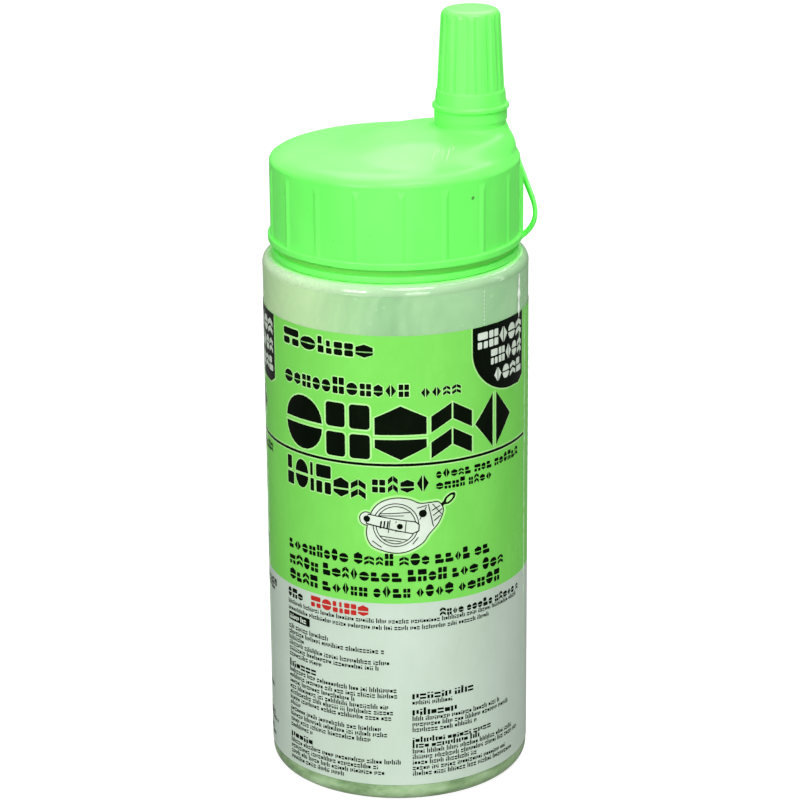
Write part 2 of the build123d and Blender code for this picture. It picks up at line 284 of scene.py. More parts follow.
def ink(name, dark, light, scale=140.0, gloss=0.22, specular=0.12, grain=0.0):
    """Printed ink behind glossy film, slightly mottled."""
    look = Shader(name, specular_ior_level=specular)
    cloud = look.noise(scale, 5, 0.6, look.stretched(1, 1, 0.6))
    colour = look.ramp(cloud, [(0.35, dark), (0.7, light)])
    if grain:
        fleck = look.ramp(look.noise(1300, 3, 0.7), [(0.62, 0.0), (0.7, grain)])
        colour = look.mix(fleck, colour, srgb(150, 190, 140))
    look.colour(colour)
    look.roughness(look.ramp(cloud, [(0.3, gloss), (0.8, gloss + 0.1)]))
    look.bump(look.noise(120, 3, 0.5, look.stretched(1, 1, 0.3)), 0.15, 0.0003)
    return look.material


def film_lip():
    """The film's curled edge: thin and a little hazy, with painted light on its left side and
    painted shade on its right.
    """
    look = Shader("film_lip", roughness=0.13, alpha=0.36, specular_ior_level=0.8)
    # painted light and shade: the lip is pale on the left and greyer green on the right
    sides = [(0.0, srgb(214, 240, 206)), (1.0, srgb(164, 206, 158))]
    painted_side_light = look.ramp(look.axis("X", -30, 34), sides)
    grain = look.ramp(look.noise(700, 4, 0.7), [(0.5, 0.0), (0.66, 0.5)])
    look.colour(look.mix(grain, painted_side_light, srgb(190, 222, 184)))
    look.bump(look.noise(260, 4, 0.6), 0.15, 0.0002)
    return look.material


def gasket_foam():
    """Closed-cell foam with fine pores."""
    look = Shader("gasket_foam", roughness=0.85)
    cells = look.noise(2200, 5, 0.7)
    look.colour(look.ramp(cells, [(0.35, srgb(214, 216, 208)), (0.7, srgb(244, 245, 240))]))
    look.bump(cells, 0.5, 0.0003)
    return look.material


CLOSURE_GREEN = green_plastic("closure_green", 0, GROOVE_Z)
CAP_GREEN = green_plastic("cap_green", 25)
TETHER_GREEN = green_plastic("tether_green", -20)
BOTTLE = bottle_plastic()
CHALK = chalk_dust()
FILM = clear_film()
FOAM = gasket_foam()
BLACK = ink("black_ink", srgb(3, 9, 2), srgb(7, 17, 5), specular=0.06)
BAND_GREEN = ink("band_green_ink", srgb(118, 207, 86), srgb(125, 214, 93), 90, specular=0.04)
PALE = ink("pale_ink", srgb(162, 226, 134), srgb(176, 232, 150))
FROST = ink("frost_ink", srgb(185, 202, 185), srgb(194, 210, 196), 60, 0.26, 0.06, 0.2)
RED = ink("red_ink", srgb(172, 36, 32), srgb(190, 48, 42))
WHITE = ink("white_ink", srgb(200, 214, 196), srgb(214, 226, 212))
SPECK = ink("speck_ink", srgb(62, 134, 52), srgb(80, 156, 68))
SCUFF = ink("scuff_mark", srgb(170, 252, 156), srgb(188, 255, 176))
# painted highlights: pale glossy inks that make the film's creases and specks show as bright
# streaks and glints
FILM_GLINT = ink("film_edge", srgb(178, 220, 172), srgb(200, 236, 194), 200, 0.12, 0.5)
FILM_FOLD_GLINT = ink("film_fold_glint", srgb(226, 240, 222), srgb(240, 248, 238), 200, 0.12, 0.5)
FILM_LIP = film_lip()


def dress(node, material):
    """Give a CAD node its material."""
    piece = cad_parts[node]
    for entry in piece.material_slots:
        entry.material = material


dress("bottle", BOTTLE)
dress("chalk_powder", CHALK)
dress("neck_gasket", FOAM)
dress("screw_closure", CLOSURE_GREEN)
dress("spout_nozzle", CLOSURE_GREEN)
dress("nozzle_cap", CAP_GREEN)
dress("tether_ring", TETHER_GREEN)


# ================================ mesh helpers ===============================================
def piece_from(name, bm, material, body, smooth=True):
    """Turn a bmesh in metres into a piece, riding on a body if one is named."""
    bmesh.ops.recalc_face_normals(bm, faces=bm.faces)
    mesh = bpy.data.meshes.new(name)
    bm.to_mesh(mesh)
    bm.free()
    mesh.materials.append(material)
    for face in mesh.polygons:
        face.use_smooth = smooth
    if smooth:
        mesh.set_sharp_from_angle(angle=math.radians(50))
    piece = bpy.data.objects.new(name, mesh)
    bpy.context.scene.collection.objects.link(piece)
    if body:
        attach(piece, body)
    return piece


def bridge(bm, loops):
    """Faces between each loop of vertices and the next one."""
    count = len(loops[0])
    for first, second in zip(loops, loops[1:]):
        for step in range(count):
            after = (step + 1) % count
            bm.faces.new((first[step], first[after], second[after], second[step]))


def cap_ends(bm, loops):
    """A face over the first loop and one over the last."""
    bm.faces.new(loops[0])
    bm.faces.new(loops[-1])


def around_axis(angle, radius, z):
    """A point round the bottle's axis in metres, with the angle measured from the front."""
    return Vector((radius * math.sin(angle), -radius * math.cos(angle), z)) * MM


def on_sleeve(s, z, radius, turn=0.0):
    """A point of the print, in metres: s and z on the sleeve at a radius."""
    return around_axis(s / FILM_R + turn, radius, z)


class Print:
    """Flat shapes in (s, z) millimetres that wrap round the sleeve as thin layers of ink."""

    def __init__(self, name, material, slot, level):
        self.name = name
        self.material = material
        self.slot = slot
        self.base = FILM_R + LIFT + LAYER * level
        self.bm = bmesh.new()

    def shape(self, *loops, turn=0.0):
        """Add one filled outline, with any holes as further loops."""
        flat = bmesh.new()
        for loop in loops:
            corners = [flat.verts.new((s, z, 0)) for s, z in loop]
            for index, corner in enumerate(corners):
                flat.edges.new((corner, corners[(index + 1) % len(corners)]))
        bmesh.ops.triangle_fill(flat, use_beauty=True, edges=flat.edges)
        low = min(vert.co.x for vert in flat.verts)
        high = max(vert.co.x for vert in flat.verts)
        for step in range(1, int((high - low) / FACET) + 1):
            everything = list(flat.verts) + list(flat.edges) + list(flat.faces)
            bmesh.ops.bisect_plane(
                flat, geom=everything, plane_co=(low + step * FACET, 0, 0), plane_no=(1, 0, 0)
            )
        self.wrap(flat, turn)

    def bar(self, s, z, width, height, turn=0.0):
        """A small plain rectangle from its lower left corner."""
        steps = max(1, int(width / FACET))
        inner, outer = self.base, self.base + LAYER
        rows = []
        for step in range(steps + 1):
            along = s + width * step / steps
            rows.append(
                [
                    self.bm.verts.new(on_sleeve(along, z + up, radius, turn))
                    for up, radius in ((0, inner), (height, inner), (height, outer), (0, outer))
                ]
            )
        bridge(self.bm, rows)
        cap_ends(self.bm, rows)

    def wrap(self, flat, turn):
        """Bend a flat mesh round the sleeve and give it thickness."""
        copies = {}
        for level, radius in ((0, self.base), (1, self.base + LAYER)):
            for vert in flat.verts:
                place = on_sleeve(vert.co.x, vert.co.y, radius, turn)
                copies[vert, level] = self.bm.verts.new(place)
        for face in flat.faces:
            self.bm.faces.new([copies[vert, 1] for vert in face.verts])
            self.bm.faces.new([copies[vert, 0] for vert in reversed(face.verts)])
        for edge in flat.edges:
            if len(edge.link_faces) == 1:
                first, second = edge.verts
                self.bm.faces.new(
                    (copies[first, 0], copies[second, 0], copies[second, 1], copies[first, 1])
                )
        flat.free()

    def done(self):
        return piece_from(self.name, self.bm, self.material, "bottle", smooth=False)


def rounded(s, z, width, height, corner, steps=5):
    """Outline of a rectangle with round corners, from its lower left corner."""
    points = []
    places = (
        (s + width - corner, z + corner, -90),
        (s + width - corner, z + height - corner, 0),
        (s + corner, z + height - corner, 90),
        (s + corner, z + corner, 180),
    )
    for centre_s, centre_z, start in places:
        for step in range(steps + 1):
            angle = math.radians(start + 90 * step / steps)
            points.append(
                (centre_s + corner * math.cos(angle), centre_z + corner * math.sin(angle))
            )
    return points


def circle(s, z, radius, steps=40):
    """Outline of a circle."""
    angles = (2 * math.pi * step / steps for step in range(steps))
    return [(s + radius * math.cos(angle), z + radius * math.sin(angle)) for angle in angles]


def stroke(points, width):
    """Outline of a line of a given width through a few points."""
    left, right = [], []
    for index, point in enumerate(points):
        before = Vector(points[max(index - 1, 0)])
        after = Vector(points[min(index + 1, len(points) - 1)])
        along = (after - before).normalized()
        side = Vector((-along.y, along.x)) * width / 2
        left.append(tuple(Vector(point) + side))
        right.append(tuple(Vector(point) - side))
    return left + right[::-1]


# ================================ the sleeve =================================================
def tube_wall(name, material, slot, inner, outer, low, high):
    """A closed thin tube round the bottle."""
    bm = bmesh.new()
    loops = []
    for radius, z in ((outer, low), (outer, high), (inner, high), (inner, low)):
        angles = (2 * math.pi * step / TUBE_STEPS for step in range(TUBE_STEPS))
        loops.append([bm.verts.new(around_axis(angle, radius, z)) for angle in angles])
    bridge(bm, loops + loops[:1])
    return piece_from(name, bm, material, "bottle")


film = tube_wall(
    "sleeve_film", FILM, "sleeve_film", FILM_R - 0.1, FILM_R, SLEEVE_LOW, SLEEVE_HIGH
)
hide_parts("shrink_sleeve")
ground = [FILM_R + stand_off for stand_off in GROUND]
tube_wall("print_band", BAND_GREEN, "green_ink", *ground, *BAND)
tube_wall("print_frost", FROST, "sleeve_film", *ground, SLEEVE_LOW + 0.1, BAND[0])

black = Print("print_black", BLACK, "black_ink", 1)
pale = Print("print_halo", PALE, "green_ink", 0)
white = Print("print_pale_lines", WHITE, "sleeve_film", 2)
red = Print("print_red", RED, "red_ink", 1)
dice = random.Random(7)


def tick(target, s, z, height, thin, turn):
    """One tiny abstract mark of a line of fine print; gives back its width."""
    kind = dice.randrange(5)
    low = height * 0.7
    if kind == 0:
        target.bar(s, z, thin, height, turn)
        target.bar(s + thin * 1.7, z, thin, low, turn)
        return thin * 2.7
    if kind == 1:
        target.bar(s, z + low * 0.12, thin * 2.2, low * 0.76, turn)
        return thin * 2.2
    if kind == 2:
        target.bar(s, z, thin, low * 0.7, turn)
        target.bar(s, z + low * 0.95, thin, height * 0.16, turn)
        return thin
    if kind == 3:
        target.bar(s, z, thin * 2.6, low * 0.34, turn)
        target.bar(s, z + low * 0.62, thin * 2.6, low * 0.38, turn)
        return thin * 2.6
    target.bar(s, z, thin, low, turn)
    target.bar(s + thin * 1.6, z + low * 0.25, thin, low * 0.75, turn)
    return thin * 2.6


def words(target, s, z, length, height, weight, turn):
    """A row of tiny marks grouped as words, standing for a line of fine print."""
    here = s
    thin = height * 0.21 * weight
    while here < s + length:
        for _ in range(dice.randint(3, 10)):
            if here + thin * 2.6 > s + length:
                return
            here += tick(target, here, z, height, thin, turn) + height * 0.14
        here += height * 0.34


# ---- abstract signs: heavy shapes with the weight of lettering, which are not letters --------
def grown_box(s, z, width, height, corner):
    """An outline maker for a rounded box that can be grown by a margin."""

    def outline(grow):
        box = (s - grow, z - grow, width + 2 * grow, height + 2 * grow)
        return [rounded(*box, corner + grow + 0.02, 3)]

    return outline


def grown_shape(points):
    """An outline maker for a plain shape, grown about its middle."""
    low_s, high_s = min(p[0] for p in points), max(p[0] for p in points)
    low_z, high_z = min(p[1] for p in points), max(p[1] for p in points)
    middle_s, middle_z = (low_s + high_s) / 2, (low_z + high_z) / 2

    def outline(grow):
        wide = 1 + 2 * grow / (high_s - low_s)
        tall = 1 + 2 * grow / (high_z - low_z)
        grown = []
        for s, z in points:
            grown.append((middle_s + (s - middle_s) * wide, middle_z + (z - middle_z) * tall))
        return [grown]

    return outline


def half_disc(s, z, wide, tall, start):
    """Points of half an oval; s and z are the middle of its straight side."""
    angles = [math.radians(start + 180 * step / 12) for step in range(13)]
    return [(s + wide * math.cos(angle), z + tall * math.sin(angle)) for angle in angles]


def split_disc(s, z, w, h):
    """A disc cut in two by a level gap."""
    gap = 0.05 * h
    upper = half_disc(s + w / 2, z + h / 2 + gap, w / 2, h / 2 - gap, 0)
    lower = half_disc(s + w / 2, z + h / 2 - gap, w / 2, h / 2 - gap, 180)
    return [grown_shape(upper), grown_shape(lower)]


def four_blocks(s, z, w, h):
    """Two rows of two blocks."""
    wide, tall = w * 0.45, h * 0.45
    places = [(s, z), (s + w - wide, z), (s, z + h - tall), (s + w - wide, z + h - tall)]
    return [grown_box(*place, wide, tall, 0.07 * w) for place in places]


def cut_hexagon(s, z, w, h):
    """A hexagon in two unequal pieces."""
    gap = 0.045 * h
    cut = z + h * 0.42
    low, high = z + h * 0.22, z + h * 0.78
    middle, right = s + w / 2, s + w
    lower = [(s, low), (middle, z), (right, low), (right, cut - gap), (s, cut - gap)]
    upper = [(s, cut + gap), (right, cut + gap), (right, high), (middle, z + h), (s, high)]
    return [grown_shape(lower), grown_shape(upper)]


def chevrons(s, z, w, h):
    """Two chevrons that point up."""
    marks = []
    for low in (z, z + h * 0.48):
        tall, rise = h * 0.3, h * 0.22
        middle = s + w / 2
        inner = middle - 0.02 * w
        left = [(s, low), (inner, low + rise), (inner, low + rise + tall), (s, low + tall)]
        right = [(2 * middle - x, y) for x, y in reversed(left)]
        marks += [grown_shape(left), grown_shape(right)]
    return marks


def split_diamond(s, z, w, h):
    """A diamond cut in two by an upright gap."""
    middle, gap = s + w / 2, 0.05 * w
    left = [(middle - gap, z), (middle - gap, z + h), (s, z + h / 2)]
    right = [(middle + gap, z), (s + w, z + h / 2), (middle + gap, z + h)]
    return [grown_shape(left), grown_shape(right)]


def bar_and_blocks(s, z, w, h):
    """A thick bar over two blocks."""
    top = grown_box(s, z + h * 0.55, w, h * 0.45, 0.1 * w)
    left, right = (grown_box(s + w * share, z, w * 0.42, h * 0.42, 0.08 * w) for share in (0, 0.58))
    return [top, left, right]


def two_bars(s, z, w, h):
    """Two stacked bars, the upper one shorter."""
    low = grown_box(s, z, w, h * 0.44, 0.12 * w)
    high = grown_box(s, z + h * 0.54, w * 0.7, h * 0.46, 0.12 * w)
    return [low, high]


SIGNS = (split_disc, four_blocks, cut_hexagon, chevrons, split_diamond, bar_and_blocks, two_bars)


def draw(sign, target, s, z, w, h, turn, halo=None):
    """Draw one sign, over a pale edge if a halo is wanted."""
    for outline in sign(s, z, w, h):
        if halo:
            pale.shape(*outline(halo), turn=turn)
        target.shape(*outline(0.0), turn=turn)


def sign_line(target, s, z, length, height, turn, halo=None, breaks=True):
    """A row of signs to a given length, broken into words."""
    here = s
    left = dice.randint(3, 8)
    while True:
        width = height * dice.uniform(0.52, 0.78)
        if here + width > s + length:
            return
        tall = height * (1.0 if dice.random() < 0.35 else 0.76)
        draw(dice.choice(SIGNS), target, here, z, width, tall, turn, halo)
        here += width + height * 0.14
        left -= 1
        if breaks and left == 0:
            here += height * 0.32
            left = dice.randint(3, 8)


def heading_signs(turn):
    """The upper print: a bold mark, a line of signs and five large signs."""
    # sign, where it starts along the sleeve, width, height
    mark = (
        (bar_and_blocks, -33.0, 6.0, 4.2),
        (split_disc, -26.4, 5.0, 3.4),
        (two_bars, -20.7, 1.8, 4.2),
        (two_bars, -18.2, 1.6, 3.4),
        (four_blocks, -16.0, 5.2, 3.4),
        (cut_hexagon, -10.2, 4.4, 3.4),
    )
    for sign, s, width, height in mark:
        draw(sign, black, s, 120.6, width, height, turn, HALO)
    sign_line(black, -32.8, 110.6, 38.0, 4.3, turn, HALO * 0.8, False)
    sign_line(black, 6.0, 110.2, 13.0, 3.4, turn, HALO * 0.6, False)
    # sign, where it starts along the sleeve, width
    large = (
        (split_disc, -32.2, 12.4),
        (four_blocks, -18.6, 11.8),
        (cut_hexagon, -5.6, 13.0),
        (chevrons, 8.6, 11.2),
        (split_diamond, 20.8, 13.0),
    )
    for sign, s, width in large:
        draw(sign, black, s, 94.1, width, 14.1, turn, HALO * 1.2)


def rule(turn):
    """The long thin rule under the large signs."""
    pale.shape(rounded(-50.6, 92.05, 93.8, 1.4, 0.4), turn=turn)
    black.shape(rounded(-50.2, 92.4, 93.0, 0.7, 0.3), turn=turn)


def amount_line(turn):
    """Signs under the rule: four tall ones, two lower ones and three lines."""
    here = -32.4
    tall = ((two_bars, 2.6), (split_disc, 4.6), (two_bars, 1.2), (bar_and_blocks, 4.5))
    for sign, width in tall:
        draw(sign, black, here, 83.4, width, 7.6, turn, HALO * 0.8)
        here += width + 0.7
    for sign, width in ((cut_hexagon, 4.2), (chevrons, 3.9)):
        draw(sign, black, here, 83.4, width, 5.2, turn, HALO * 0.8)
        here += width + 0.6
    sign_line(black, -6.4, 85.4, 14.4, 4.6, turn, HALO * 0.5, False)
    sign_line(black, 9.8, 88.6, 29.6, 2.5, turn)
    sign_line(black, 9.8, 85.6, 17.4, 2.5, turn)


def badge(turn):
    """The black shield that hangs from the band's top edge, with three pale lines."""

    def outline(grow):
        right = 41.0 + grow
        top = BAND[1] - 0.02
        loop = [(right, top), (20.0 - grow, top)]
        for step in range(1, 17):
            angle = math.radians(180 + 84 * step / 16)
            loop.append(
                (34.6 + (14.6 + grow) * math.cos(angle), 120.0 + (12.0 + grow) * math.sin(angle))
            )
        return loop + [(38.4, 107.9 - grow), (right, 109.4 - grow)]

    pale.shape(outline(HALO), turn=turn)
    black.shape(outline(0.0), turn=turn)
    # for each pale line: its lower left corner, its length and its height
    rows = ((21.6, 120.5, 18.9, 4.2), (26.0, 115.7, 14.5, 3.9), (27.2, 110.8, 13.2, 3.7))
    for s, z, length, height in rows:
        count = round(length / height * 1.22)
        pitch = length / count
        for index in range(count):
            sign = SIGNS[(index * 3 + count) % len(SIGNS)]
            draw(sign, white, s + index * pitch, z, pitch - 0.5, height, turn)


def smooth_loop(points):
    """A closed smooth curve through a few points."""
    out = []
    steps = 4
    count = len(points)
    for index in range(count):
        near = [Vector(points[(index + shift) % count]) for shift in (-1, 0, 1, 2)]
        before, first, second, after = near
        for step in range(steps):
            t = step / steps
            bend = (second - before) * t + (2 * before - 5 * first + 4 * second - after) * t * t
            place = first + 0.5 * (bend + (3 * first - before - 3 * second + after) * t ** 3)
            out.append(tuple(place))
    return out


def offset_loop(points, margin):
    """The outline moved outwards by a margin; the points run clockwise."""
    out = []
    count = len(points)
    for index, point in enumerate(points):
        along = (Vector(points[(index + 1) % count]) - Vector(points[index - 1])).normalized()
        out.append((point[0] - along.y * margin, point[1] + along.x * margin))
    return out


REEL_CENTRE = (-0.5, 76.8)
REEL_BODY = (
    (-5.6, 4.0), (-3.4, 6.1), (0.0, 7.1), (3.4, 6.7), (6.0, 5.5), (8.7, 5.5),
    (10.9, 5.4), (12.0, 3.3), (10.8, 0.1), (8.4, -2.6), (6.6, -5.0), (3.2, -6.9),
    (0.0, -7.4), (-3.2, -6.8), (-6.2, -5.4), (-7.3, -2.6), (-6.8, 0.8),
)


def reel_drawing(turn):
    """A generic line drawing of a chalk line reel."""

    def moved(points):
        return [(REEL_CENTRE[0] + s, REEL_CENTRE[1] + z) for s, z in points]

    def ring(layer, s, z, radius, steps=24):
        layer.shape(moved(circle(s, z, radius, steps)), turn=turn)

    def line(points, width=0.22):
        layers["mark"].shape(moved(stroke(points, width)), turn=turn)

    layers = reel_layers
    body = smooth_loop(moved(REEL_BODY))
    pale.shape(offset_loop(body, 0.85), turn=turn)
    black.shape(offset_loop(body, 0.28), turn=turn)
    layers["fill"].shape(body, turn=turn)
    for radius, key in ((5.85, "line"), (5.6, "top"), (5.1, "line2"), (4.85, "top2")):
        ring(layers[key], 0.0, 0.0, radius, 56)
    pale.shape(moved(circle(-7.4, 1.5, 2.4)), turn=turn)
    black.shape(moved(circle(-7.4, 1.5, 1.9)), turn=turn)
    ring(layers["fill"], -7.4, 1.5, 1.65)
    arm = [(-7.6, 0.1), (4.2, -2.5), (5.9, -1.8), (6.0, 0.0), (5.0, 0.9), (-7.0, 2.9)]
    inner = [(-7.3, 0.4), (4.2, -2.2), (5.6, -1.6), (5.7, -0.1), (4.8, 0.65), (-6.9, 2.6)]
    layers["line3"].shape(moved(arm), turn=turn)
    layers["top3"].shape(moved(inner), turn=turn)
    for s, z, radius in ((-7.3, 1.5, 0.85), (1.0, -0.35, 0.75), (6.8, 2.9, 1.0)):
        ring(layers["mark"], s, z, radius)
    lines = (
        ((-4.2, 3.0), (3.6, 3.4)), ((-4.0, -2.9), (3.0, -4.0)), ((-4.3, 2.5), (2.0, 2.5)),
        ((-3.2, -3.8), (1.4, -4.4)), ((2.3, -1.9), (2.6, 1.0)), ((8.2, 5.3), (9.5, -0.8)),
        ((9.3, 5.2), (11.7, 2.2)), ((9.1, 3.5), (11.3, 4.6)), ((9.4, 2.1), (11.8, 3.7)),
        ((9.7, 0.7), (11.4, 2.0)), ((5.3, 4.4), (7.9, 5.0)), ((6.0, 1.3), (7.7, 4.6)),
        ((-6.0, -4.3), (-3.6, -6.0)), ((5.6, -3.4), (4.2, -5.2)), ((-1.9, -2.0), (-1.4, 1.4)),
        ((0.0, -1.8), (0.1, -1.2)), ((0.0, 0.6), (0.1, 1.1)),
    )
    for points in lines:
        line(points)
    for grip in range(3):
        line([(-3.9 + grip * 0.85, -0.9), (-3.6 + grip * 0.85, 1.1)], 0.42)
    loop = [(12.2, 5.0), (12.6, 6.4), (14.2, 7.5), (15.4, 7.3), (15.1, 5.9), (13.5, 4.7)]
    hole = [(12.9, 5.3), (13.2, 6.2), (14.2, 6.9), (14.8, 6.8), (14.5, 6.0), (13.4, 5.2)]
    pale.shape(offset_loop(smooth_loop(moved(loop)), 0.4), turn=turn)
    black.shape(smooth_loop(moved(loop)), smooth_loop(moved(hole)), turn=turn)
    black.shape(moved(stroke([(11.4, 4.4), (12.7, 5.4)], 0.9)), turn=turn)


reel_layers = {
    "fill": Print("print_reel_fill", WHITE, "sleeve_film", 2),
    "line": Print("print_reel_ring", BLACK, "black_ink", 3),
    "top": Print("print_reel_face", WHITE, "sleeve_film", 4),
    "line2": Print("print_reel_ring_inner", BLACK, "black_ink", 5),
    "top2": Print("print_reel_face_inner", WHITE, "sleeve_film", 6),
    "line3": Print("print_reel_crank", BLACK, "black_ink", 7),
    "top3": Print("print_reel_crank_face", WHITE, "sleeve_film", 8),
    "mark": Print("print_reel_marks", BLACK, "black_ink", 9),
}


def bold_lines(turn):
    """Three lines of bold signs at the foot of the green band."""
    for z, length in ((65.8, 58.0), (61.4, 66.0), (57.1, 63.5)):
        sign_line(black, -32.4, z, length, 3.3, turn)


LINE_PITCH = 1.56
HEADING_DROP = 2.95        # from a line of text down to a heading or to bold text
FINE_LEFT = -33.4          # left edge of the fine print
# what each line of a column is, and its length
LEFT_COLUMN = (
    ("text", 14.7), ("text", 30.4), ("text", 7.3), ("text", 32.1), ("text", 28.5),
    ("text", 12.6), ("heading", 11.6), ("text", 33.1), ("text", 33.0), ("text", 22.4),
    ("text", 31.2), ("text", 32.0), ("text", 32.0), ("text", 4.9), ("text", 29.1),
    ("text", 30.8), ("text", 26.4), ("text", 8.9), ("heading", 9.9), ("text", 34.1),
    ("text", 28.3), ("text", 29.7), ("text", 18.5),
)
RIGHT_COLUMN = (
    ("heading", 17.9), ("text", 11.3), ("heading", 12.3), ("text", 26.1), ("text", 30.8),
    ("text", 18.3), ("bold", 23.3), ("bold", 19.7), ("text", 32.4), ("text", 35.2),
    ("text", 18.7), ("text", 29.5), ("text", 32.2),
)


def column(rows, s, first_z, turn):
    """Lines of fine print down from the first one's height."""
    z = first_z + LINE_PITCH
    before = "heading"
    for kind, length in rows:
        z -= HEADING_DROP if kind != "text" and before == "text" else LINE_PITCH
        if kind == "heading":
            words(black, s, z, length, 2.1, 1.45, turn)
        elif kind == "bold":
            words(black, s, z, length, 1.6, 1.5, turn)
        else:
            words(black, s, z, length, 1.4, 1.0, turn)
        before = kind


def small_print(turn):
    """Fine print on the frosted film below the band."""
    sign_line(black, FINE_LEFT, 52.0, 7.6, 2.6, turn)
    here = -24.4
    mark = (
        (bar_and_blocks, 3.2), (split_disc, 2.9), (two_bars, 1.5),
        (two_bars, 1.0), (four_blocks, 3.3), (cut_hexagon, 2.8),
    )
    for sign, width in mark:
        draw(sign, red, here, 51.7, width, 3.0, turn)
        here += width + 0.4
    sign_line(black, 10.6, 51.4, 28.6, 2.3, turn)
    words(black, FINE_LEFT, 50.1, 71.0, 1.3, 1.0, turn)
    words(black, FINE_LEFT, 48.3, 58.9, 1.3, 1.0, turn)
    black.shape(rounded(-33.3, 45.5, 8.3, 2.3, 0.1), turn=turn)
    words(white, -32.8, 46.0, 7.2, 1.4, 1.2, turn)
    column(LEFT_COLUMN, FINE_LEFT, 43.2, turn)
    column(RIGHT_COLUMN, 3.3, 29.0, turn)


def panel(turn):
    """One whole printed panel."""
    heading_signs(turn)
    rule(turn)
    amount_line(turn)
    badge(turn)
    reel_drawing(turn)
    bold_lines(turn)
    small_print(turn)


def back_strip():
    """The narrow back panel: fine print and a plain block of bars."""
    for row in range(12):
        words(black, -20.0, 112.0 - row * 2.6, dice.uniform(25, 34), 1.3, 1.0, BACK_TURN)
    white.shape(rounded(-17.0, 20.0, 34.0, 22.0, 0.6), turn=BACK_TURN)
    here = -14.5
    while here < 14.0:
        width = dice.choice((0.35, 0.5, 0.8, 1.1))
        bars.bar(here, 24.0, width, 15.5, BACK_TURN)
        here += width + dice.choice((0.4, 0.6, 0.9))


bars = Print("print_back_bars", BLACK, "black_ink", 3)
panel(0.0)
panel(PANEL_TURN)
back_strip()
for made in (pale, black, white, red, bars, *reel_layers.values()):
    made.done()


def tear_line():
    """Perforations of the sleeve's tear line: one upright row of short slots."""
    dots = Print("sleeve_perforations", WHITE, "sleeve_film", 1)
    z = BAND[1] + 0.4
    while z < SLEEVE_HIGH - 0.6:
        dots.bar(23.6, z, 0.2, 0.42)
        z += 1.02
    dots.done()


tear_line()


# ================================ the tether's strap =========================================
def strap():
    """The thin strap: a flat band along a smooth curve from the ring's pad to the cap's lug."""
    # millimetres: out of the pad, past the outline at the right, up behind the closure, to the lug
    route = (
        (31.9, 2.58, 141.5),
        (33.3, 2.45, 142.0),
        (35.62, 1.95, 145.6),
        (35.62, 2.9, 149.4),
        (34.0, 6.4, 153.2),
        (31.6, 12.4, 158.6),
        (29.0, 18.4, 164.8),
        (26.6, 22.4, 170.0),
        (24.6, 23.8, 174.4),
        (23.6, 21.8, 177.6),
        (23.4, 17.4, 178.4),
        (23.7, 12.2, CAP_BOTTOM + 0.8),
        (23.2, 9.4, CAP_BOTTOM + 0.75),
    )
    curve = bpy.data.curves.new("strap_route", "CURVE")
    curve.dimensions = "3D"
    line = curve.splines.new("NURBS")
    line.points.add(len(route) - 1)
    for point, place in zip(line.points, route):
        point.co = (*(Vector(place) * MM), 1)
    line.order_u = 3
    line.use_endpoint_u = True
    curve.resolution_u = 10
    holder = bpy.data.objects.new("strap_route", curve)
    flat = bpy.data.meshes.new_from_object(holder)
    path = [vert.co.copy() for vert in flat.vertices]
    bpy.data.objects.remove(holder)
    bm = bmesh.new()
    loops = []
    centre = Vector((NOZZLE_X * 0.6, 0, 0)) * MM
    for index, spot in enumerate(path):
        along = (path[min(index + 1, len(path) - 1)] - path[max(index - 1, 0)]).normalized()
        out = spot - centre
        out.z = 0
        thick = (out - along * out.dot(along)).normalized()
        wide = along.cross(thick).normalized()
        share = index / (len(path) - 1)
        end = min(share, 1 - share)
        half_wide = 1.05 + 0.2 * max(0.0, 1 - end / 0.06)
        swell = 0.06 * max(0.0, 1 - abs(share - 0.15) / 0.1)
        half_thick = 0.3 + 0.2 * min(1.0, share / 0.1) + swell
        loop = []
        for step in range(STRAP_SIDES):
            angle = 2 * math.pi * step / STRAP_SIDES
            side = math.copysign(abs(math.cos(angle)) ** 0.6, math.cos(angle))
            face = math.copysign(abs(math.sin(angle)) ** 0.6, math.sin(angle))
            offset = wide * side * half_wide + thick * face * half_thick
            loop.append(bm.verts.new(spot + offset * MM))
        loops.append(loop)
    bridge(bm, loops)
    cap_ends(bm, loops)
    piece = piece_from("tether_band", bm, TETHER_GREEN, None)
    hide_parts("tether_strap")
    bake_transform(piece)


strap()


# ================================ marks and details on the closure ===========================
def surface_point(start, heading):
    """Where a straight line meets the closure, and the surface's direction there, in metres."""
    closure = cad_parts["screw_closure"]
    found, place, normal, _ = closure.ray_cast(Vector(start) * MM, Vector(heading).normalized())
    if not found:
        raise RuntimeError(f"the closure is not met from {start}")
    return place, normal


def closure_top(x, y):
    """The closure's top straight below a place in millimetres, and its direction there."""
    return surface_point((x, y, ABOVE), DOWN)


def speck(bm, start, heading, size, stretch=1.0):
    """A tiny flat mark where a line meets the closure."""
    place, normal = surface_point(start, heading)
    across = normal.orthogonal().normalized()
    along = normal.cross(across)
    rim = []
    for step in range(DOT_SIDES):
        turn = 2 * math.pi * step / DOT_SIDES
        flat = Vector((math.cos(turn) * stretch, math.sin(turn)))
        rim.append(place + (across * flat.x + along * flat.y) * size * MM)
    lifted = [bm.verts.new(spot + normal * RAISED * MM) for spot in rim]
    sunk = [bm.verts.new(spot - normal * SUNK * MM) for spot in rim]
    bm.faces.new(lifted)
    bm.faces.new(sunk[::-1])
    bridge(bm, (sunk, lifted))


def from_outside(angle, height):
    """A place outside the closure at a height, and the direction from there to its axis."""
    out = Vector((math.cos(angle), math.sin(angle), 0))
    return tuple(out * OUTSIDE + Vector((0, 0, height))), tuple(-out)


